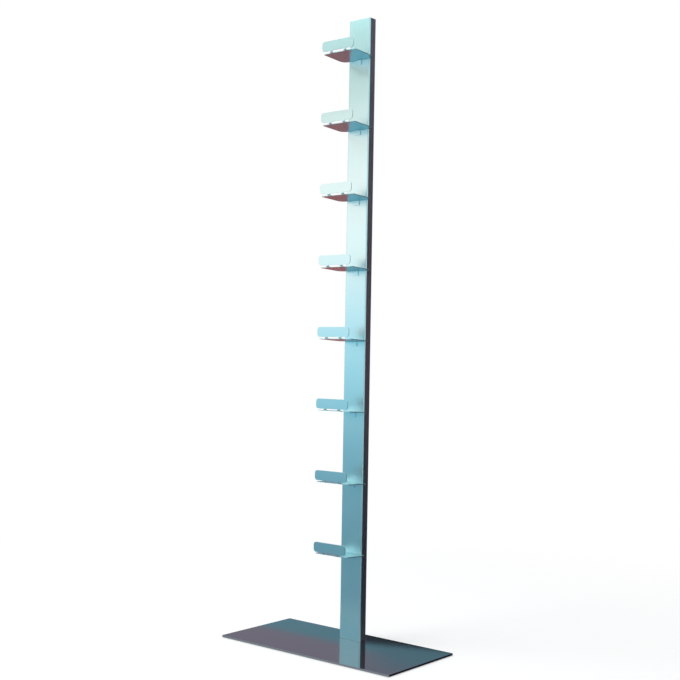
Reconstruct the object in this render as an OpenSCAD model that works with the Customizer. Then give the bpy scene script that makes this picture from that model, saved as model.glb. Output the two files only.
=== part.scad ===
// Storage tower: eight sheet trays, hooked one above another into the front
// of a slim folded column, which stands on a thin base plate.
// Millimetres. X runs to the right, Y to the rear, Z up.
// The origin is at the middle of the base, on the floor.

/* [Base plate] */
// Width of the base plate, left to right
base_w = 620; // [440:10:800]
// Depth of the base plate, front to rear
base_d = 300; // [270:5:400]
// Thickness of the base plate
base_t = 5; // [4.5:0.5:10]
// Radius of the base plate's corners
base_corner_r = 2; // [1:0.5:12]
// Front edge of the base plate to the column's front face
column_setback = 218; // [150:2:230]

/* [Floor pads] */
// Diameter of one floor pad
pad_d = 20; // [10:1:30]
// Thickness of one floor pad
pad_t = 1.5; // [1:0.5:5]
// Edge of the base plate to the centre of a pad
pad_inset = 22; // [18:1:45]

/* [Column] */
// Width of the column, left to right
column_w = 78; // [74:1:100]
// Depth of the column, front to rear
column_d = 29; // [26:1:45]
// Thickness of the column's sheet
column_t = 1.5; // [1:0.1:2.5]
// Outer radius of the column's bends
column_bend_r = 4; // [3:0.5:6]
// Width of the flanges that the column's sides turn in at the rear
column_return = 14; // [8:1:20]
// Column left above the highest tray
column_over = 116; // [60:2:160]

/* [Tray levels] */
// Top of the base plate to the lowest tray
first_tray_h = 258; // [150:2:400]
// Distance from one tray to the next
tray_pitch = 208; // [170:2:240]

/* [Tray shelf] */
// Width of a tray, left to right
tray_w = 118; // [110:1:150]
// Column's front face to the front of the lip
tray_reach = 100; // [80:1:120]
// Thickness of the tray's sheet
tray_t = 2; // [1.5:0.1:2.5]
// Slope of the shelf down to the column, in degrees
shelf_slope = 3; // [0:0.5:6]
// Radius of the shelf's rear corners
shelf_rear_r = 20; // [8:1:22]
// Radius of the shelf's front corners
shelf_front_r = 6; // [3:0.5:12]

/* [Tray lip] */
// Height of the lip
lip_h = 29; // [22:1:50]
// Radius of the lip's corners
lip_corner_r = 9; // [4:0.5:10]
// Inner radius of the fold between shelf and lip
fold_r = 3; // [2:0.5:4]
// Underside of the shelf to the lower edge of the lip, across the slots
slot_rise = 6; // [5:0.5:9]
// Depth of the slots into the shelf
slot_run = 6; // [4:0.5:8]
// Width of one bridge between two slots
bridge_w = 9; // [5:0.5:14]
// Distance between the two bridges
bridge_spacing = 51; // [36:1:64]

/* [Tray fixing] */
// Width of the tab that rests on the column
tab_w = 20; // [12:1:22]
// Height of the tab below the shelf
tab_h = 14; // [9:1:24]
// Inner radius of the tab's bend
tab_bend_r = 2; // [1:0.5:3]
// Width of the notches beside the tab
tab_notch = 2; // [1:0.5:3]
// Width of one tongue that hooks into the column
tongue_w = 14; // [8:1:15]
// Distance between the two tongues
tongue_spacing = 48; // [46:1:50]
// Height of the hook behind the column's front wall
hook_h = 10; // [6:1:14]

/* [Foot and fixings] */
// Thickness of the block inside the column's foot
foot_t = 8; // [6:0.5:14]
// Thickness of the plate that closes the column's top
cap_t = 1.5; // [1:0.5:3]
// Diameter of a foot screw
screw_d = 6; // [4:0.5:7]
// Diameter of a foot screw's head
screw_head_d = 11; // [9:0.5:11]
// Height of a foot screw's countersunk head
screw_head_h = 3; // [2:0.5:3.5]
// Distance between the foot screws, left to right
screw_spacing_x = 50; // [36:1:52]
// Distance between the foot screws, front to rear
screw_spacing_y = 13; // [12:0.5:14]

/* [Hidden] */
$fn = 64;

// Every cut runs this far past the face it opens
overrun = 1;
// Gap round a tongue in its slot, and between a hook and the wall before it
tongue_clearance = 0.2;
// Gap round a screw in the base plate
screw_clearance = 0.2;
// Gap round a screw in the foot block's thread
thread_clearance = 0.05;
// Depth of a screw's tip short of the foot block's top
screw_short = 1;

paint = [0.62, 0.81, 0.86];
paint_low = [0.42, 0.60, 0.68];
steel = [0.60, 0.61, 0.63];
felt = [0.16, 0.16, 0.17];

tray_count = 8;
base_top = pad_t + base_t;
column_front_y = column_setback - base_d / 2;
column_mid_y = column_front_y + column_d / 2;
column_h = first_tray_h + (tray_count - 1) * tray_pitch + column_over;
column_inner_r = column_bend_r - column_t;
column_inner_w = column_w - 2 * column_t;
column_inner_d = column_d - 2 * column_t;

// Heights on a tray, from its own level at the underside of the shelf's front
function under_z(y) = -(y + tray_reach) * tan(shelf_slope);
function upper_z(y) = under_z(y) + tray_t / cos(shelf_slope);

fold_y = fold_r + tray_t - tray_reach;
fold_z = under_z(fold_y) + (fold_r + tray_t) / cos(shelf_slope);
tab_root = tab_bend_r + 2 * tray_t;
tab_bend_y = -tab_bend_r - tray_t;
tab_bend_z = upper_z(tab_bend_y) - (tab_bend_r + tray_t) / cos(shelf_slope);
tab_bottom_z = under_z(0) - tab_h;
hook_y = column_t + tongue_clearance;

function tray_level(index) = base_top + first_tray_h + index * tray_pitch;

// Rectangle with round corners, centred
module rounded_plate(width, depth, radius) {
    square([width - 2 * radius, depth], center = true);
    square([width, depth - 2 * radius], center = true);
    for (side_x = [-1, 1], side_y = [-1, 1])
        translate([side_x * (width / 2 - radius), side_y * (depth / 2 - radius)])
            circle(r = radius);
}

// Lays a side profile, drawn with Y across and Z up, over a width in X
module across(width) {
    rotate([90, 0, 90])
        translate([0, 0, -width / 2])
            linear_extrude(width)
                children();
}

// Side profile of the sloping shelf between two places in Y
module shelf_profile(from_y, to_y) {
    polygon([
        [from_y, under_z(from_y)],
        [to_y, under_z(to_y)],
        [to_y, upper_z(to_y)],
        [from_y, upper_z(from_y)]
    ]);
}

// All that lies inside one face of a bend, which runs from a wall round to the shelf's line
module bend_side(centre, radius, turn, wall_end_z, line_end_y) {
    line_end_z = centre[1] + turn * radius / cos(shelf_slope) - (line_end_y - centre[0]) * tan(shelf_slope);
    translate(centre)
        circle(r = radius);
    polygon([
        [centre[0] + turn * radius, wall_end_z],
        [centre[0] + turn * radius, centre[1]],
        centre,
        centre + turn * radius * [sin(shelf_slope), cos(shelf_slope)],
        [line_end_y, line_end_z],
        [line_end_y, wall_end_z]
    ]);
}

// Base plate with countersunk holes for the foot screws
module base_plate() {
    color(paint_low)
        difference() {
            translate([0, 0, pad_t])
                linear_extrude(base_t)
                    rounded_plate(base_w, base_d, base_corner_r);
            at_screws() {
                cylinder(h = base_top + overrun, d = screw_d + 2 * screw_clearance);
                screw_head(screw_clearance);
            }
        }
}

// Felt pads under the base plate, along its front and rear edges
module floor_pads() {
    pad_x = base_w / 2 - pad_inset;
    pad_y = base_d / 2 - pad_inset;
    color(felt)
        for (x = [-pad_x, 0, pad_x], y = [-pad_y, pad_y])
            translate([x, y, 0])
                cylinder(h = pad_t, d = pad_d);
}

// Outline of the column's folded sheet, open along the middle of the rear
module column_outline() {
    difference() {
        rounded_plate(column_w, column_d, column_bend_r);
        rounded_plate(column_inner_w, column_inner_d, column_inner_r);
        translate([column_return - column_w / 2, 0])
            square([column_w - 2 * column_return, column_d]);
    }
}

// Folded column with two slots for the tongues of each tray
module column() {
    slot_w = tongue_w + 2 * tongue_clearance;
    slot_low = under_z(column_t) - tongue_clearance;
    slot_high = upper_z(0) + tongue_clearance;
    color(paint)
        difference() {
            translate([0, column_mid_y, base_top])
                linear_extrude(column_h)
                    column_outline();
            for (index = [0 : tray_count - 1], side = [-1, 1])
                translate([
                    side * tongue_spacing / 2 - slot_w / 2,
                    column_front_y - overrun,
                    tray_level(index) + slot_low
                ])
                    cube([slot_w, column_t + 2 * overrun, slot_high - slot_low]);
        }
}

// Block inside the column's foot, with threads for the foot screws
module foot_block() {
    color(steel)
        difference() {
            translate([0, column_mid_y, base_top])
                linear_extrude(foot_t)
                    rounded_plate(column_inner_w, column_inner_d, column_inner_r);
            at_screws()
                cylinder(h = base_top + foot_t + overrun, d = screw_d + 2 * thread_clearance);
        }
}

// Places a screw or its hole at each corner of the screw pattern
module at_screws() {
    for (side_x = [-1, 1], side_y = [-1, 1])
        translate([side_x * screw_spacing_x / 2, column_mid_y + side_y * screw_spacing_y / 2, 0])
            children();
}

// Countersunk head, flush with the underside of the base plate
module screw_head(clearance) {
    head_r = screw_head_d / 2 + clearance;
    neck_r = screw_d / 2 + clearance;
    translate([0, 0, pad_t])
        cylinder(h = screw_head_h, r1 = head_r, r2 = neck_r);
    if (clearance > 0)
        cylinder(h = pad_t, r = head_r);
}

// Foot screws, up through the base plate into the foot block
module base_screws() {
    color(steel)
        at_screws() {
            screw_head(0);
            translate([0, 0, pad_t])
                cylinder(h = base_t + foot_t - screw_short, d = screw_d);
        }
}

// Plate that closes the top of the column
module top_cap() {
    color(paint)
        translate([0, column_mid_y, base_top + column_h - cap_t])
            linear_extrude(cap_t)
                rounded_plate(column_inner_w, column_inner_d, column_inner_r);
}

// Lip, a plate with round corners
module lip() {
    translate([0, tray_t - tray_reach, slot_rise + lip_h / 2])
        rotate([90, 0, 0])
            linear_extrude(tray_t)
                rounded_plate(tray_w, lip_h, lip_corner_r);
}

// Narrow strip of sheet that carries the fold from the shelf up to the lip
module bridge() {
    top_z = slot_rise + lip_corner_r;
    end_y = fold_y + fold_r + 2 * tray_t;
    across(bridge_w)
        difference() {
            bend_side([fold_y, fold_z], fold_r + tray_t, -1, top_z, end_y);
            bend_side([fold_y, fold_z], fold_r, -1, top_z + overrun, end_y + overrun);
        }
}

// Outline of the shelf from above, with larger corners at the rear
module shelf_outline() {
    front_y = slot_run - tray_reach;
    front_x = tray_w / 2 - shelf_front_r;
    rear_x = tray_w / 2 - shelf_rear_r;
    translate([-front_x, front_y])
        square([2 * front_x, -front_y - shelf_rear_r]);
    translate([-tray_w / 2, front_y + shelf_front_r])
        square([tray_w, -front_y - shelf_front_r - shelf_rear_r]);
    translate([-rear_x, -shelf_rear_r - tray_t])
        square([2 * rear_x, shelf_rear_r + tray_t]);
    for (side = [-1, 1]) {
        translate([side * front_x, front_y + shelf_front_r])
            circle(r = shelf_front_r);
        translate([side * rear_x, -shelf_rear_r])
            circle(r = shelf_rear_r);
    }
}

// Flat shelf, sloping down to the column, notched round the tab
module shelf() {
    notch_w = tab_w + 2 * tab_notch;
    difference() {
        intersection() {
            across(tray_w)
                shelf_profile(-tray_reach, 0);
            translate([0, 0, under_z(0) - overrun])
                linear_extrude(upper_z(-tray_reach) - under_z(0) + 2 * overrun)
                    shelf_outline();
        }
        translate([-notch_w / 2, -tab_root, tab_bottom_z])
            cube([notch_w, tab_root + overrun, upper_z(-tray_reach) - tab_bottom_z]);
    }
}

// Tab, bent down from the shelf's rear edge to rest on the column's face
module tab() {
    start_y = -tab_root - tray_t;
    across(tab_w)
        difference() {
            bend_side([tab_bend_y, tab_bend_z], tab_bend_r + tray_t, 1, tab_bottom_z, start_y);
            bend_side([tab_bend_y, tab_bend_z], tab_bend_r, 1, tab_bottom_z - overrun, start_y - overrun);
        }
}

// Tongue, through its slot and up behind the column's front wall
module tongue() {
    across(tongue_w) {
        shelf_profile(-tray_t, hook_y + tray_t);
        translate([hook_y, under_z(hook_y)])
            square([tray_t, hook_h]);
    }
}

// One tray, bent from a single sheet, hooked into the column at its level
module tray(index) {
    color(paint)
        translate([0, column_front_y, tray_level(index)]) {
            lip();
            shelf();
            tab();
            for (side = [-1, 1]) {
                translate([side * bridge_spacing / 2, 0, 0])
                    bridge();
                translate([side * tongue_spacing / 2, 0, 0])
                    tongue();
            }
        }
}

// Trays, numbered from the lowest
module tray_1() tray(0);
module tray_2() tray(1);
module tray_3() tray(2);
module tray_4() tray(3);
module tray_5() tray(4);
module tray_6() tray(5);
module tray_7() tray(6);
module tray_8() tray(7);

base_plate();
floor_pads();
column();
foot_block();
base_screws();
top_cap();
tray_1();
tray_2();
tray_3();
tray_4();
tray_5();
tray_6();
tray_7();
tray_8();
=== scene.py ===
import math

import bmesh
import bpy
from mathutils import Matrix, Vector


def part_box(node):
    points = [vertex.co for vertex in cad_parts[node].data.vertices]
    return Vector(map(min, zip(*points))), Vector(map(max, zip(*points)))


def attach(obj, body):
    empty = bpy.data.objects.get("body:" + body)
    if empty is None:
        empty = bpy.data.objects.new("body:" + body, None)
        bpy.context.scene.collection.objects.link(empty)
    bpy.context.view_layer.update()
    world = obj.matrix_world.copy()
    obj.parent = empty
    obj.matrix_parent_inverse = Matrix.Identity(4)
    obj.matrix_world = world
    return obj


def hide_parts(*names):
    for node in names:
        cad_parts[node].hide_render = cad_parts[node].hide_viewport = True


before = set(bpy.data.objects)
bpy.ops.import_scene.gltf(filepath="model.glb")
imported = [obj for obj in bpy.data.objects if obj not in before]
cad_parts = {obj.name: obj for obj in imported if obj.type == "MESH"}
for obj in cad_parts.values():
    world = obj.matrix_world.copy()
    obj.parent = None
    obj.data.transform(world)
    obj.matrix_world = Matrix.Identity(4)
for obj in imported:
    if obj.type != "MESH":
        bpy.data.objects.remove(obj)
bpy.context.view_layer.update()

# Sizes in metres that the frame gives
base_low, base_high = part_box("base_plate")
pads_low, pads_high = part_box("floor_pads")
column_low, column_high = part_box("column")
block_low, block_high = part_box("foot_block")
screws_low, screws_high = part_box("base_screws")
cap_low, cap_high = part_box("top_cap")
tray_low, tray_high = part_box("tray_1")
column_middle = (column_low + column_high) / 2

# Sizes in metres that the frame doesn't give by itself
base_corner = 0.002
column_sheet = 0.0015
column_bend = 0.004
column_flange = 0.014
tray_sheet = 0.002
tray_slope = math.radians(3)
lip_height = 0.029
lip_corner = 0.009
slot_rise = 0.006
slot_run = 0.006
bridge_width = 0.009
bridge_spacing = 0.051
fold_radius = 0.005
shelf_rear_corner = 0.020
shelf_front_corner = 0.006
tab_width = 0.020
tab_notch = 0.002
tab_root = 0.006
tab_bend = 0.002
tongue_width = 0.014
tongue_spacing = 0.048
tongue_clearance = 0.0002
hook_height = 0.010
screw_shank = 0.006
screw_head = 0.011
screw_head_height = 0.003
screw_socket = 0.004
screw_gap = 0.0002
screw_spacing_x = 0.050
screw_spacing_y = 0.013
pad_diameter = 0.020
pad_inset = 0.022
edge_round = 0.0003
socket_round = 0.0002
merge_reach = 0.00001

# Angles between two faces from which their edge is rounded, and from which it is shaded sharp
rounded_from = math.radians(40)
sharp_from = math.radians(50)

# Segments of round corners and steps of folds
corner_segments = 12
bend_segments = 10
fold_steps = 10
tab_steps = 8
round_sides = 48
socket_sides = 6

tray_count = 8
tray_names = [f"tray_{number}" for number in range(1, tray_count + 1)]

# Finishes, as linear colours
paint_tint = (0.43, 0.72, 0.77)
plate_tint = (0.165, 0.19, 0.22)
steel_tint = (0.55, 0.56, 0.58)
felt_tint = (0.020, 0.020, 0.022)


# Modelling helpers

def deselect():
    """Leaves nothing selected."""
    bpy.ops.object.select_all(action="DESELECT")


def start(name, primitive, **settings):
    """Adds a primitive, alone in the selection, and opens it in edit mode."""
    deselect()
    primitive(**settings)
    piece = bpy.context.object
    piece.name = name
    piece.data.name = name
    bpy.ops.object.mode_set(mode="EDIT")
    return piece


def done():
    """Closes the open piece, with its origin at 0."""
    bpy.ops.object.mode_set(mode="OBJECT")
    bpy.ops.object.transform_apply(location=True, rotation=True, scale=True)


def pick(piece, kind, test):
    """Selects the vertices, edges or faces of the open piece whose middle passes the test."""
    bpy.ops.mesh.select_mode(type=kind)
    bpy.ops.mesh.select_all(action="DESELECT")
    mesh = bmesh.from_edit_mesh(piece.data)
    parts = {"VERT": mesh.verts, "EDGE": mesh.edges, "FACE": mesh.faces}[kind]
    for part in parts:
        corners = [part] if kind == "VERT" else part.verts
        middle = sum((corner.co for corner in corners), Vector()) / len(corners)
        if test(middle):
            part.select_set(True)
    bmesh.update_edit_mesh(piece.data)


def near(value, target, reach=0.00005):
    """True where two sizes agree."""
    return abs(value - target) < reach


def cut(axis, places):
    """Cuts the open piece square to an axis at each place along it."""
    normal = Vector((0, 0, 0))
    normal[axis] = 1
    for place in places:
        bpy.ops.mesh.select_all(action="SELECT")
        bpy.ops.mesh.bisect(plane_co=normal * place, plane_no=normal)


def draw_out(move):
    """Extrudes the selected edges of the open piece."""
    bpy.ops.mesh.extrude_edges_move(TRANSFORM_OT_translate={"value": move})


def finish_with(piece, kind, **settings):
    """Adds a modifier and applies it."""
    bpy.context.view_layer.objects.active = piece
    bpy.ops.object.modifier_add(type=kind)
    modifier = piece.modifiers[-1]
    for name, value in settings.items():
        setattr(modifier, name, value)
    bpy.ops.object.modifier_apply(modifier=modifier.name)


def thicken(piece, thickness):
    """Gives a sheet its thickness, on the side away from its normals."""
    finish_with(
        piece, "SOLIDIFY", thickness=thickness, offset=-1, use_even_offset=True, use_quality_normals=True,
    )


def soften(piece, width=edge_round, segments=2):
    """Rounds the sharp edges and shades flat stretches flat."""
    finish_with(
        piece, "BEVEL", width=width, segments=segments, limit_method="ANGLE",
        angle_limit=rounded_from, use_clamp_overlap=True,
    )
    bpy.ops.object.shade_smooth_by_angle(angle=sharp_from)
    finish_with(piece, "WEIGHTED_NORMAL", keep_sharp=True)


# Tray

tray_reach = column_low.y - tray_low.y
tray_width = tray_high.x - tray_low.x
tray_level = tray_high.z - slot_rise - lip_height
tab_bottom = tray_low.z - tray_level


def shelf_height(y):
    """Height of the shelf's underside over the tray's own level, at y from the column's face."""
    return -(y + tray_reach) * math.tan(tray_slope)


def tilt_to_slope(piece):
    """Shears the flat open piece so that its height follows the shelf's slope."""
    mesh = bmesh.from_edit_mesh(piece.data)
    for vertex in mesh.verts:
        vertex.co.z = shelf_height(vertex.co.y)
    bmesh.update_edit_mesh(piece.data)


def make_tray():
    """Models one tray as a folded sheet, its own level at z 0 and the column's face at y 0."""
    front = slot_run - tray_reach
    piece = start("tray", bpy.ops.mesh.primitive_plane_add, size=1, location=(0, front / 2, 0))
    bpy.ops.transform.resize(value=(tray_width, -front, 1))
    bpy.ops.object.mode_set(mode="OBJECT")
    bpy.ops.object.transform_apply(location=True)
    bpy.ops.object.mode_set(mode="EDIT")
    bpy.ops.mesh.flip_normals()
    for edge, radius in ((0, shelf_rear_corner), (front, shelf_front_corner)):
        pick(piece, "VERT", lambda p: near(p.y, edge) and near(abs(p.x), tray_width / 2))
        bpy.ops.mesh.bevel(offset=radius, segments=corner_segments, affect="VERTICES")
    bridge_sides = (bridge_spacing / 2 - bridge_width / 2, bridge_spacing / 2 + bridge_width / 2)
    tongue_sides = (tongue_spacing / 2 - tongue_width / 2, tongue_spacing / 2 + tongue_width / 2)
    tab_side = tab_width / 2
    notch_side = tab_side + tab_notch
    sides = (*bridge_sides, *tongue_sides, tab_side, notch_side)
    cut(0, [side * place for place in sides for side in (-1, 1)])
    cut(1, [-tab_root])
    pick(piece, "FACE", lambda p: abs(p.x) < notch_side and p.y > -tab_root)
    bpy.ops.mesh.delete(type="FACE")
    tilt_to_slope(piece)

    # The two bridges fold up to the lip
    fold_y = fold_radius - tray_reach
    fold_z = shelf_height(fold_y) + fold_radius / math.cos(tray_slope)
    fold_start = fold_y - fold_radius * math.sin(tray_slope)
    pick(piece, "EDGE", lambda p: near(p.y, front) and bridge_sides[0] < abs(p.x) < bridge_sides[1])
    draw_out((0, fold_start - front, shelf_height(fold_start) - shelf_height(front)))
    bpy.ops.mesh.spin(
        steps=fold_steps, angle=math.pi / 2 - tray_slope, center=(0, fold_y, fold_z), axis=(1, 0, 0),
    )
    draw_out((0, 0, slot_rise - fold_z))

    # The lip is added upright over them
    bpy.ops.mesh.primitive_plane_add(
        size=1, location=(0, -tray_reach, slot_rise + lip_height / 2), rotation=(math.pi / 2, 0, 0),
    )
    bpy.ops.transform.resize(value=(tray_width, 1, lip_height))
    lip_ends = (slot_rise, slot_rise + lip_height)
    pick(
        piece, "VERT",
        lambda p: near(abs(p.x), tray_width / 2) and any(near(p.z, end) for end in lip_ends),
    )
    bpy.ops.mesh.bevel(offset=lip_corner, segments=corner_segments, affect="VERTICES")
    pick(piece, "FACE", lambda p: near(p.y, -tray_reach) and near(p.z, slot_rise + lip_height / 2))
    for place in [side * place for place in bridge_sides for side in (-1, 1)]:
        bpy.ops.mesh.bisect(plane_co=(place, 0, 0), plane_no=(1, 0, 0))
        pick(piece, "FACE", lambda p: near(p.y, -tray_reach) and p.z > slot_rise)
    bpy.ops.mesh.select_all(action="SELECT")
    bpy.ops.mesh.remove_doubles(threshold=merge_reach)

    # The tab bends down on the column's face
    bend_y = -tab_bend - tray_sheet
    bend_z = shelf_height(bend_y) - tab_bend / math.cos(tray_slope)
    bend_start = bend_y + tab_bend * math.sin(tray_slope)
    pick(piece, "EDGE", lambda p: near(p.y, -tab_root) and abs(p.x) < tab_side)
    draw_out((0, bend_start + tab_root, shelf_height(bend_start) - shelf_height(-tab_root)))
    bpy.ops.mesh.spin(
        steps=tab_steps, angle=math.pi / 2 - tray_slope, center=(0, bend_y, bend_z), axis=(1, 0, 0),
    )
    draw_out((0, 0, tab_bottom - bend_z))

    # The two tongues run into the column and hook up behind its front wall
    hook_front = column_sheet + tongue_clearance
    hook_rear = hook_front + tray_sheet
    pick(piece, "EDGE", lambda p: near(p.y, 0) and tongue_sides[0] < abs(p.x) < tongue_sides[1])
    draw_out((0, hook_rear, shelf_height(hook_rear) - shelf_height(0)))
    draw_out((0, 0, shelf_height(hook_front) + hook_height - shelf_height(hook_rear)))

    # The drawn face is the shelf's underside, so the normals point down there and on along the sheet
    bpy.ops.mesh.select_all(action="SELECT")
    bpy.ops.mesh.remove_doubles(threshold=merge_reach)
    bpy.ops.mesh.normals_make_consistent(inside=False)
    faces = bmesh.from_edit_mesh(piece.data).faces
    if max(faces, key=lambda face: face.calc_area()).normal.z > 0:
        bpy.ops.mesh.flip_normals()
    done()
    thicken(piece, tray_sheet)
    soften(piece)
    return piece


def place_trays(pattern, finish):
    """Copies the tray to each level, each copy with its own mesh."""
    pattern.data.materials.append(finish)
    for name in tray_names:
        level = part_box(name)[1].z - slot_rise - lip_height
        deselect()
        pattern.select_set(True)
        bpy.context.view_layer.objects.active = pattern
        bpy.ops.object.duplicate()
        piece = bpy.context.object
        piece.name = "sheet_" + name
        piece.location = (0, column_low.y, level)
        bpy.ops.object.transform_apply(location=True)
        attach(piece, "root")
        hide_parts(name)
    bpy.data.objects.remove(pattern)


# Column, its foot and its cap

def rounded_sheet(name, low, high, radius, height):
    """A flat sheet with round corners at a height, open in edit mode."""
    middle = (low + high) / 2
    piece = start(
        name, bpy.ops.mesh.primitive_plane_add, size=1, location=(middle.x, middle.y, height),
    )
    bpy.ops.transform.resize(value=(high.x - low.x, high.y - low.y, 1))
    bpy.ops.mesh.select_mode(type="VERT")
    bpy.ops.mesh.select_all(action="SELECT")
    bpy.ops.mesh.bevel(offset=radius, segments=bend_segments, affect="VERTICES")
    bpy.ops.object.mode_set(mode="OBJECT")
    bpy.ops.object.transform_apply(location=True)
    bpy.ops.object.mode_set(mode="EDIT")
    return piece


def make_column(finish):
    """Models the column as a folded sheet, open at the rear, with the tongues' slots."""
    piece = rounded_sheet("folded_column", column_low, column_high, column_bend, column_low.z)
    bpy.ops.mesh.select_all(action="SELECT")
    bpy.ops.mesh.delete(type="ONLY_FACE")
    bpy.ops.mesh.select_all(action="SELECT")
    draw_out((0, 0, column_high.z - column_low.z))
    bpy.ops.mesh.select_all(action="SELECT")
    bpy.ops.mesh.normals_make_consistent(inside=False)
    opening = (column_high.x - column_low.x) / 2 - column_flange
    slot_half = tongue_width / 2 + tongue_clearance
    slot_sides = [tongue_spacing / 2 - slot_half, tongue_spacing / 2 + slot_half]
    cut(0, [side * place for place in [opening] + slot_sides for side in (-1, 1)])
    pick(piece, "FACE", lambda p: near(p.y, column_high.y) and abs(p.x) < opening)
    bpy.ops.mesh.delete(type="FACE")
    slot_low = shelf_height(column_sheet) - tongue_clearance
    slot_high = shelf_height(0) + tray_sheet / math.cos(tray_slope) + tongue_clearance
    levels = [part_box(name)[1].z - slot_rise - lip_height for name in tray_names]
    cut(2, [level + edge for level in levels for edge in (slot_low, slot_high)])
    pick(
        piece, "FACE",
        lambda p: near(p.y, column_low.y) and slot_sides[0] < abs(p.x) < slot_sides[1]
        and any(slot_low < p.z - level < slot_high for level in levels),
    )
    bpy.ops.mesh.delete(type="FACE")
    done()
    thicken(piece, column_sheet)
    soften(piece)
    dress(piece, "column", finish)


def make_cap(finish):
    """Models the plate that closes the column's top."""
    piece = rounded_sheet("closing_cap", cap_low, cap_high, column_bend - column_sheet, cap_high.z)
    done()
    thicken(piece, cap_high.z - cap_low.z)
    soften(piece)
    dress(piece, "top_cap", finish)


def screw_places():
    """The four places of the foot screws, on the floor."""
    return [
        Vector((x * screw_spacing_x / 2, column_middle.y + y * screw_spacing_y / 2, 0))
        for x in (-1, 1) for y in (-1, 1)
    ]


def bore(piece, cutters):
    """Cuts the cutters' shapes out of the piece and removes them."""
    for cutter in cutters:
        finish_with(piece, "BOOLEAN", object=cutter, operation="DIFFERENCE", solver="EXACT")
        bpy.data.objects.remove(cutter)


def make_block(finish):
    """Models the threaded block inside the column's foot."""
    piece = rounded_sheet(
        "threaded_foot_block", block_low, block_high, column_bend - column_sheet, block_high.z,
    )
    done()
    thicken(piece, block_high.z - block_low.z)
    holes = []
    for place in screw_places():
        deselect()
        bpy.ops.mesh.primitive_cylinder_add(
            vertices=round_sides, radius=screw_shank / 2, depth=block_high.z * 2,
            location=place + Vector((0, 0, block_high.z)),
        )
        holes.append(bpy.context.object)
    bore(piece, holes)
    soften(piece)
    dress(piece, "foot_block", finish)


def make_screws(finish):
    """Models the countersunk foot screws with hexagon sockets."""
    piece = start(
        "countersunk_screws", bpy.ops.mesh.primitive_cylinder_add, vertices=round_sides,
        radius=screw_head / 2, depth=screw_head_height, location=(0, 0, screw_head_height / 2),
    )
    done()
    bpy.ops.object.mode_set(mode="EDIT")
    pick(piece, "FACE", lambda p: near(p.z, screw_head_height))
    shrink = screw_shank / screw_head
    bpy.ops.transform.resize(value=(shrink, shrink, 1))
    bpy.ops.mesh.extrude_region_move(
        TRANSFORM_OT_translate={"value": (0, 0, screws_high.z - screws_low.z - screw_head_height)},
    )
    done()
    deselect()
    bpy.ops.mesh.primitive_cylinder_add(
        vertices=socket_sides, radius=screw_socket / math.sqrt(3), depth=screw_head_height,
        location=(0, 0, 0),
    )
    bore(piece, [bpy.context.object])
    soften(piece, width=socket_round)
    copies = []
    for place in screw_places():
        deselect()
        piece.select_set(True)
        bpy.context.view_layer.objects.active = piece
        bpy.ops.object.duplicate()
        copy = bpy.context.object
        copy.location = place + Vector((0, 0, screws_low.z))
        copies.append(copy)
    bpy.data.objects.remove(piece)
    merge("countersunk_screws", copies)
    dress(bpy.context.object, "base_screws", finish)


def merge(name, copies):
    """Joins copies to one piece, with its origin at 0."""
    deselect()
    for copy in copies:
        copy.select_set(True)
    bpy.context.view_layer.objects.active = copies[0]
    bpy.ops.object.join()
    piece = bpy.context.object
    piece.name = name
    piece.data.name = name
    bpy.ops.object.transform_apply(location=True, rotation=True, scale=True)
    return piece


# Base plate and its pads

def make_base(finish):
    """Models the base plate, its countersunk holes cut from below."""
    piece = rounded_sheet("flat_base", base_low, base_high, base_corner, base_high.z)
    done()
    thicken(piece, base_high.z - base_low.z)
    cutters = []
    for place in screw_places():
        deselect()
        bpy.ops.mesh.primitive_cylinder_add(
            vertices=round_sides, radius=screw_shank / 2 + screw_gap, depth=base_high.z * 4, location=place,
        )
        cutters.append(bpy.context.object)
        deselect()
        bpy.ops.mesh.primitive_cone_add(
            vertices=round_sides, radius1=screw_head / 2 + screw_gap, radius2=screw_shank / 2 + screw_gap,
            depth=screw_head_height, location=place + Vector((0, 0, base_low.z + screw_head_height / 2)),
        )
        cutters.append(bpy.context.object)
    bore(piece, cutters)
    soften(piece)
    dress(piece, "base_plate", finish)


def make_pads(finish):
    """Models the felt pads, with a soft rim."""
    thickness = pads_high.z - pads_low.z
    pad_x = base_high.x - pad_inset
    pad_y = base_high.y - pad_inset
    pads = []
    for x in (-pad_x, 0, pad_x):
        for y in (-pad_y, pad_y):
            pad = start(
                "felt_pad", bpy.ops.mesh.primitive_cylinder_add, vertices=round_sides,
                radius=pad_diameter / 2, depth=thickness, location=(x, y, pads_low.z + thickness / 2),
            )
            done()
            pads.append(pad)
    piece = merge("felt_pads", pads)
    soften(piece, width=thickness / 4, segments=3)
    dress(piece, "floor_pads", finish)


def dress(piece, node, finish):
    """Gives a finished piece its material and its place in the frame's table."""
    piece.data.materials.clear()
    piece.data.materials.append(finish)
    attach(piece, "root")
    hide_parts(node)


# Finishes

def add(tree, kind, place, **values):
    """Adds a node and sets its properties and the values of its inputs."""
    node = tree.nodes.new(kind)
    node.location = place
    for name, value in values.items():
        if hasattr(node, name):
            setattr(node, name, value)
        else:
            node.inputs[name.replace("_", " ")].default_value = value
    return node


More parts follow.
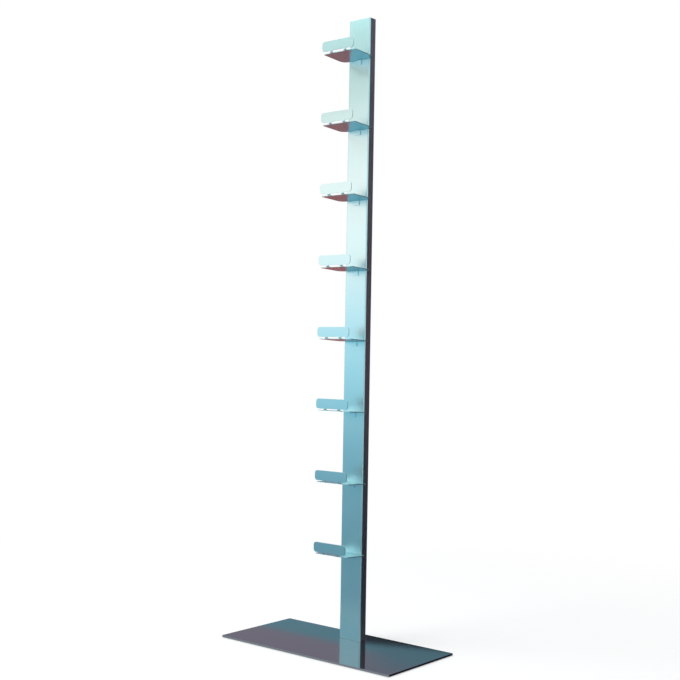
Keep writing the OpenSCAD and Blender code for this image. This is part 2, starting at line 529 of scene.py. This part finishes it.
def make_grain_group():
    """Fine grain and slow clouding for any finish: varies a tint and a roughness, and gives a height."""
    group = bpy.data.node_groups.new("surface_grain", "ShaderNodeTree")
    group.interface.new_socket("Tint", in_out="INPUT", socket_type="NodeSocketColor")
    for name in ("Tint spread", "Roughness", "Roughness spread", "Grain scale", "Cloud scale"):
        group.interface.new_socket(name, in_out="INPUT", socket_type="NodeSocketFloat")
    group.interface.new_socket("Tint", in_out="OUTPUT", socket_type="NodeSocketColor")
    for name in ("Roughness", "Height"):
        group.interface.new_socket(name, in_out="OUTPUT", socket_type="NodeSocketFloat")
    given = add(group, "NodeGroupInput", (-900, 0))
    result = add(group, "NodeGroupOutput", (600, 0))
    place = add(group, "ShaderNodeTexCoord", (-900, -300))
    grain = add(group, "ShaderNodeTexNoise", (-600, -200), Detail=4.0, Roughness=0.6)
    cloud = add(group, "ShaderNodeTexNoise", (-600, -500), Detail=3.0, Roughness=0.5)
    both = add(group, "ShaderNodeMath", (-350, -350), operation="ADD")
    centred = add(group, "ShaderNodeMath", (-150, -350), operation="SUBTRACT")
    centred.inputs[1].default_value = 1.0
    tint_share = add(group, "ShaderNodeMath", (50, -150), operation="MULTIPLY_ADD")
    tint_share.inputs[2].default_value = 1.0
    rough_share = add(group, "ShaderNodeMath", (50, -400), operation="MULTIPLY_ADD")
    tinted = add(group, "ShaderNodeVectorMath", (300, 50), operation="SCALE")
    link = group.links.new
    link(place.outputs["Object"], grain.inputs["Vector"])
    link(place.outputs["Object"], cloud.inputs["Vector"])
    link(given.outputs["Grain scale"], grain.inputs["Scale"])
    link(given.outputs["Cloud scale"], cloud.inputs["Scale"])
    link(grain.outputs["Fac"], both.inputs[0])
    link(cloud.outputs["Fac"], both.inputs[1])
    link(both.outputs[0], centred.inputs[0])
    link(centred.outputs[0], tint_share.inputs[0])
    link(given.outputs["Tint spread"], tint_share.inputs[1])
    link(centred.outputs[0], rough_share.inputs[0])
    link(given.outputs["Roughness spread"], rough_share.inputs[1])
    link(given.outputs["Roughness"], rough_share.inputs[2])
    link(given.outputs["Tint"], tinted.inputs[0])
    link(tint_share.outputs[0], tinted.inputs["Scale"])
    link(tinted.outputs[0], result.inputs["Tint"])
    link(rough_share.outputs[0], result.inputs["Roughness"])
    link(grain.outputs["Fac"], result.inputs["Height"])
    return group


def make_finish(name, tint, grain, bump, **shader_values):
    """A finish with the shared grain, and with a bump of some strength and distance.

    The other values are set on the shader's own sockets.
    """
    finish = bpy.data.materials.new(name)
    finish.use_nodes = True
    tree = finish.node_tree
    shader = tree.nodes["Principled BSDF"]
    for socket, value in shader_values.items():
        shader.inputs[socket.replace("_", " ")].default_value = value
    surface = add(tree, "ShaderNodeGroup", (-500, 100), node_tree=grain_group)
    surface.inputs["Tint"].default_value = (*tint, 1)
    for socket, value in grain.items():
        surface.inputs[socket.replace("_", " ")].default_value = value
    relief = add(tree, "ShaderNodeBump", (-250, -200), Strength=bump[0], Distance=bump[1])
    tree.links.new(surface.outputs["Tint"], shader.inputs["Base Color"])
    tree.links.new(surface.outputs["Roughness"], shader.inputs["Roughness"])
    tree.links.new(surface.outputs["Height"], relief.inputs["Height"])
    tree.links.new(relief.outputs["Normal"], shader.inputs["Normal"])
    return finish


grain_group = make_grain_group()
paint = make_finish(
    "satin_paint", paint_tint,
    dict(Tint_spread=0.05, Roughness=0.30, Roughness_spread=0.06, Grain_scale=2600.0, Cloud_scale=9.0),
    bump=(0.12, 0.0001), Metallic=1.0,
)
polished = make_finish(
    "polished_plate", plate_tint,
    dict(Tint_spread=0.04, Roughness=0.035, Roughness_spread=0.015, Grain_scale=1800.0, Cloud_scale=7.0),
    bump=(0.05, 0.0001), Metallic=1.0, Coat_Weight=0.35, Coat_Roughness=0.3,
)
steel = make_finish(
    "turned_steel", steel_tint,
    dict(Tint_spread=0.10, Roughness=0.32, Roughness_spread=0.10, Grain_scale=1500.0, Cloud_scale=60.0),
    bump=(0.2, 0.0001), Metallic=1.0,
)
felt = make_finish(
    "pressed_felt", felt_tint,
    dict(Tint_spread=0.8, Roughness=0.95, Roughness_spread=0.05, Grain_scale=3500.0, Cloud_scale=300.0),
    bump=(0.9, 0.0004), Metallic=0.0, Sheen_Weight=0.3,
)

make_base(polished)
make_pads(felt)
make_column(paint)
make_cap(paint)
make_block(steel)
make_screws(steel)
place_trays(make_tray(), paint)


# Stage

# Tones of the glowing cards around the tower, as linear colours. Only glossy rays see the cards, so these
# tones are painted reflections on the metal
warm_low = (0.50, 0.025, 0.012)
grey_top = (0.28, 0.27, 0.31)
cool_band = (0.17, 0.445, 0.535)
grey_high = (0.365, 0.345, 0.42)
cool_right = (0.17, 0.36, 0.43)
grey_right = (0.355, 0.31, 0.40)
# Painted shadow: the tone of the low dark card that the base mirrors as a shadow band along its rear edge,
# right of the column
shadow_band_tone = (0.02, 0.03, 0.04)
pale_middle = (0.42, 0.42, 0.44)
# Dark tones that the column's right side and rear mirror: painted shade, with a warm painted reflection in
# the higher one
side_shade_high = (0.105, 0.035, 0.048)
side_shade_low = (0.032, 0.018, 0.028)
cool_front = (0.23, 0.34, 0.41)
# Tones of the front card, which the column's front and lips mirror: a painted highlight in the upper
# middle, painted shade low down and at the top
front_low = (0.26, 0.42, 0.52)
front_cool = (0.68, 1.12, 1.28)
front_glow = (2.2, 1.48, 1.34)
front_high = (0.30, 0.40, 0.33)

# Colours and lights of floor and surround
floor_tint = (0.80, 0.80, 0.80)
floor_lift = 0.32
# Colour the floor shows to bounce light only: painted shade, so the floor lights the tower's shaded sides
# little
floor_bounce_shade = (0.30, 0.28, 0.28)
surround_tint = (0.97, 0.99, 1.0)
surround_light = 0.7
white = (1, 1, 1)

# Sizes and places on the stage, in metres
floor_radius = 30
floor_sides = 96
floor_fade = (0.8, 2.2)
card_left = -7
card_right = 6
card_rear = 2.5
card_foot = -0.5
card_top = 3.4
floor_card_height = 0.0008
front_floor_start = (-12, -12)
front_floor_gap = 0.04
foot_card_ends = (-1.97, -1.1)
foot_card_top = 0.708
foot_card_rise = 0.085
foot_card_gap = 0.01
rear_floor_right = -1
rear_floor_front = 0.8
front_card_ends = (-4.8, -0.7)
front_card_y = -2.65
front_card_top = 6

# Where one tone of a card turns into the next, in metres
band_turn = (0.66, 0.72)
high_turn = (0.80, 0.83)
right_high_turn = (0.78, 1.0)
right_turn = (-2.0, -1.6)
top_turn = (1.0, 1.1)
middle_turn = (-0.9, -0.5)
side_high_turn = (0.0, 1.0)
side_turn = (0.3, 1.0)
front_cool_turn = (0.2, 0.85)
front_glow_turn = (1.0, 1.35)
front_high_turn = (2.15, 2.6)

# Lamp
lamp_place = (-1.3, -1.7, 3.6)
lamp_target = (0, 0, 0.6)
lamp_size = 2.0
lamp_power = 45
lamp_tint = (1.0, 0.99, 0.98)

# Camera
camera_lens = 60.49
camera_sensor = 36
camera_place = (2.1117, -2.5581, 0.8446)
camera_heading = 39.53
camera_tilt = 90.72
camera_roll = 0.98


def is_seen(tree, place):
    """A mask that is 1 for camera, glossy and transmission rays."""
    path = add(tree, "ShaderNodeLightPath", (place[0] - 400, place[1]))
    first = add(tree, "ShaderNodeMath", (place[0] - 200, place[1]), operation="MAXIMUM")
    second = add(tree, "ShaderNodeMath", place, operation="MAXIMUM")
    tree.links.new(path.outputs["Is Camera Ray"], first.inputs[0])
    tree.links.new(path.outputs["Is Glossy Ray"], first.inputs[1])
    tree.links.new(first.outputs[0], second.inputs[0])
    tree.links.new(path.outputs["Is Transmission Ray"], second.inputs[1])
    return second.outputs[0]


def make_world():
    """A white surround, with a softer light of its own."""
    world = bpy.data.worlds.new("white_surround")
    bpy.context.scene.world = world
    world.use_nodes = True
    tree = world.node_tree
    tree.nodes.clear()
    light = add(
        tree, "ShaderNodeBackground", (0, -100), Color=(*surround_tint, 1), Strength=surround_light,
    )
    shown = add(tree, "ShaderNodeBackground", (0, -250), Color=(*white, 1), Strength=1.0)
    mix = add(tree, "ShaderNodeMixShader", (250, 0))
    output = add(tree, "ShaderNodeOutputWorld", (450, 0))
    tree.links.new(is_seen(tree, (0, 200)), mix.inputs["Fac"])
    tree.links.new(light.outputs[0], mix.inputs[1])
    tree.links.new(shown.outputs[0], mix.inputs[2])
    tree.links.new(mix.outputs[0], output.inputs["Surface"])


def make_floor():
    """A plain pale floor that fades to white away from the tower. To diffuse rays it is dim instead:
    painted shade, so it bounces little light onto the tower.
    """
    deselect()
    bpy.ops.mesh.primitive_circle_add(
        vertices=floor_sides, radius=floor_radius, fill_type="NGON", location=(0, 0, 0),
    )
    floor = bpy.context.object
    floor.name = "floor"
    surface = bpy.data.materials.new("pale_floor")
    surface.use_nodes = True
    tree = surface.node_tree
    tree.nodes.clear()
    place = add(tree, "ShaderNodeTexCoord", (-900, 300))
    distance = add(tree, "ShaderNodeVectorMath", (-700, 300), operation="LENGTH")
    fade = add(tree, "ShaderNodeMapRange", (-500, 300), interpolation_type="SMOOTHSTEP")
    fade.inputs["From Min"].default_value, fade.inputs["From Max"].default_value = floor_fade
    pale = add(tree, "ShaderNodeBsdfDiffuse", (-300, 0), Color=(*floor_tint, 1))
    lift = add(tree, "ShaderNodeEmission", (-300, -150), Color=(*white, 1), Strength=floor_lift)
    lit = add(tree, "ShaderNodeAddShader", (-100, -50))
    far = add(tree, "ShaderNodeEmission", (-100, -200), Color=(*white, 1), Strength=1.0)
    shown = add(tree, "ShaderNodeMixShader", (100, 0))
    # To diffuse rays the floor is dim: painted shade
    dim = add(tree, "ShaderNodeBsdfDiffuse", (100, -300), Color=(*floor_bounce_shade, 1))
    final = add(tree, "ShaderNodeMixShader", (350, 0))
    output = add(tree, "ShaderNodeOutputMaterial", (550, 0))
    link = tree.links.new
    link(place.outputs["Object"], distance.inputs[0])
    link(distance.outputs["Value"], fade.inputs["Value"])
    link(pale.outputs[0], lit.inputs[0])
    link(lift.outputs[0], lit.inputs[1])
    link(fade.outputs[0], shown.inputs["Fac"])
    link(lit.outputs[0], shown.inputs[1])
    link(far.outputs[0], shown.inputs[2])
    link(is_seen(tree, (100, 300)), final.inputs["Fac"])
    link(dim.outputs[0], final.inputs[1])
    link(shown.outputs[0], final.inputs[2])
    link(final.outputs[0], output.inputs["Surface"])
    floor.data.materials.append(surface)


def make_card(name, low, high, left_rise=0):
    """Adds a flat card between two corners, which only glossy surfaces see.

    Its upper left corner can stand higher. Returns its shader tree and the node that makes it glow.
    """
    low, high = Vector(low), Vector(high)
    size = high - low
    upright = size.z > 0
    card = start(
        name, bpy.ops.mesh.primitive_plane_add, size=1, location=(low + high) / 2,
        rotation=(math.pi / 2 if upright else 0, 0, 0),
    )
    bpy.ops.transform.resize(value=(size.x, 1, size.z) if upright else (size.x, size.y, 1))
    done()
    if left_rise:
        bpy.ops.object.mode_set(mode="EDIT")
        pick(card, "VERT", lambda p: near(p.x, low.x) and near(p.z, high.z))
        bpy.ops.transform.translate(value=(0, 0, left_rise))
        done()
    card.visible_camera = False
    card.visible_diffuse = False
    card.visible_shadow = False
    card.visible_transmission = False
    surface = bpy.data.materials.new(name)
    surface.use_nodes = True
    tree = surface.node_tree
    tree.nodes.clear()
    glow = add(tree, "ShaderNodeEmission", (600, 0), Strength=1.0)
    output = add(tree, "ShaderNodeOutputMaterial", (800, 0))
    tree.links.new(glow.outputs[0], output.inputs["Surface"])
    card.data.materials.append(surface)
    return tree, glow


def make_plain_card(name, low, high, tone, left_rise=0):
    """A card with one tone all over."""
    glow = make_card(name, low, high, left_rise)[1]
    glow.inputs["Color"].default_value = (*tone, 1)


def along(tree, axis, turn, place):
    """A mask that rises from 0 to 1 between two places along an axis."""
    where = add(tree, "ShaderNodeTexCoord", (place[0] - 400, place[1]))
    split = add(tree, "ShaderNodeSeparateXYZ", (place[0] - 200, place[1]))
    rise = add(tree, "ShaderNodeMapRange", place, interpolation_type="SMOOTHSTEP")
    rise.inputs["From Min"].default_value, rise.inputs["From Max"].default_value = turn
    tree.links.new(where.outputs["Object"], split.inputs[0])
    tree.links.new(split.outputs[axis], rise.inputs["Value"])
    return rise.outputs[0]


def blend_tones(tree, mask, first, second, place):
    """Mixes two tones by a mask. A tone is a colour or another node's output."""
    mix = add(tree, "ShaderNodeMix", place, data_type="RGBA")
    tree.links.new(mask, mix.inputs["Factor"])
    for tone, socket in ((first, mix.inputs[6]), (second, mix.inputs[7])):
        if isinstance(tone, tuple):
            socket.default_value = (*tone, 1)
        else:
            tree.links.new(tone, socket)
    return mix.outputs[2]


def make_rear_cards():
    """The card behind the tower, which base, undersides, right side and rear mirror, as painted
    reflections. On its right it is dark: painted shade for the column's right side. A dark card just before
    it paints a shadow band on the base.
    """
    tree, glow = make_card(
        "rear_card", (card_left, card_rear, card_foot), (card_right, card_rear, card_top),
    )
    low = blend_tones(tree, along(tree, "Z", band_turn, (-500, 300)), warm_low, cool_band, (-200, 300))
    left = blend_tones(tree, along(tree, "Z", high_turn, (-500, 0)), low, grey_high, (0, 200))
    right = blend_tones(
        tree, along(tree, "Z", right_high_turn, (-500, -300)), cool_right, grey_right, (0, -200),
    )
    both = blend_tones(tree, along(tree, "X", right_turn, (-500, -600)), left, right, (200, 0))
    topped = blend_tones(tree, along(tree, "Z", top_turn, (-500, -900)), both, grey_top, (400, 0))
    middle = blend_tones(
        tree, along(tree, "X", middle_turn, (-500, -1200)), topped, pale_middle, (600, 0),
    )
    # Right of the tower the card turns to the dark side tones: painted shade on the column's right side and
    # rear
    side = blend_tones(
        tree, along(tree, "Z", side_high_turn, (-500, -1500)), side_shade_low, side_shade_high, (600, -300),
    )
    whole = blend_tones(tree, along(tree, "X", side_turn, (-500, -1800)), middle, side, (800, 0))
    tree.links.new(whole, glow.inputs["Color"])
    # A dark card low before the rear card paints the shadow band that the base mirrors along its rear edge,
    # right of the column
    left, right = foot_card_ends
    place = card_rear - foot_card_gap
    make_plain_card(
        "foot_card", (left, place, card_foot), (right, place, foot_card_top), shadow_band_tone, foot_card_rise,
    )


def make_floor_cards():
    """Cards just over the floor, in front of the tower, behind it and to its right. The metal mirrors their
    glow as painted reflections.
    """
    height = floor_card_height
    make_plain_card(
        "front_floor_card", (*front_floor_start, height),
        (card_right, base_low.y - front_floor_gap, height), cool_front,
    )
    make_plain_card(
        "rear_floor_card", (card_left, rear_floor_front, height),
        (rear_floor_right, card_rear, height), warm_low,
    )
    # The dark card to the right keeps the pale floor out of the column's right side: painted shade
    make_plain_card(
        "side_floor_card", (0, base_low.y, height), (card_right, card_rear, height), side_shade_low,
    )


def make_front_card():
    """The card in front of the tower, which the column's front and the lips mirror. Its glow paints their
    highlight, brightest in the upper middle, with painted shade low down and at the top.
    """
    left, right = front_card_ends
    tree, glow = make_card(
        "front_card", (left, front_card_y, 0), (right, front_card_y, front_card_top),
    )
    low = blend_tones(
        tree, along(tree, "Z", front_cool_turn, (-500, 300)), front_low, front_cool, (-100, 200),
    )
    lower = blend_tones(
        tree, along(tree, "Z", front_glow_turn, (-500, 0)), low, front_glow, (100, 200),
    )
    whole = blend_tones(
        tree, along(tree, "Z", front_high_turn, (-500, -300)), lower, front_high, (300, 0),
    )
    tree.links.new(whole, glow.inputs["Color"])


def make_lamp():
    """A soft square lamp, high at the front left."""
    lamp = bpy.data.lights.new("key_lamp", "AREA")
    lamp.shape = "SQUARE"
    lamp.size = lamp_size
    lamp.energy = lamp_power
    lamp.color = lamp_tint
    holder = bpy.data.objects.new("key_lamp", lamp)
    bpy.context.scene.collection.objects.link(holder)
    holder.location = lamp_place
    holder.rotation_mode = "QUATERNION"
    holder.rotation_quaternion = (Vector(lamp_target) - Vector(lamp_place)).to_track_quat("-Z", "Y")


def make_camera():
    """The camera at the photograph's viewing angle."""
    data = bpy.data.cameras.new("camera")
    data.lens = camera_lens
    data.sensor_width = camera_sensor
    camera = bpy.data.objects.new("camera", data)
    bpy.context.scene.collection.objects.link(camera)
    camera.matrix_world = (
        Matrix.Translation(camera_place)
        @ Matrix.Rotation(math.radians(camera_heading), 4, "Z")
        @ Matrix.Rotation(math.radians(camera_tilt), 4, "X")
        @ Matrix.Rotation(math.radians(camera_roll), 4, "Z")
    )
    bpy.context.scene.camera = camera


make_world()
make_floor()
make_rear_cards()
make_floor_cards()
make_front_card()
make_lamp()
make_camera()

scene = bpy.context.scene
scene.view_settings.view_transform = "Standard"
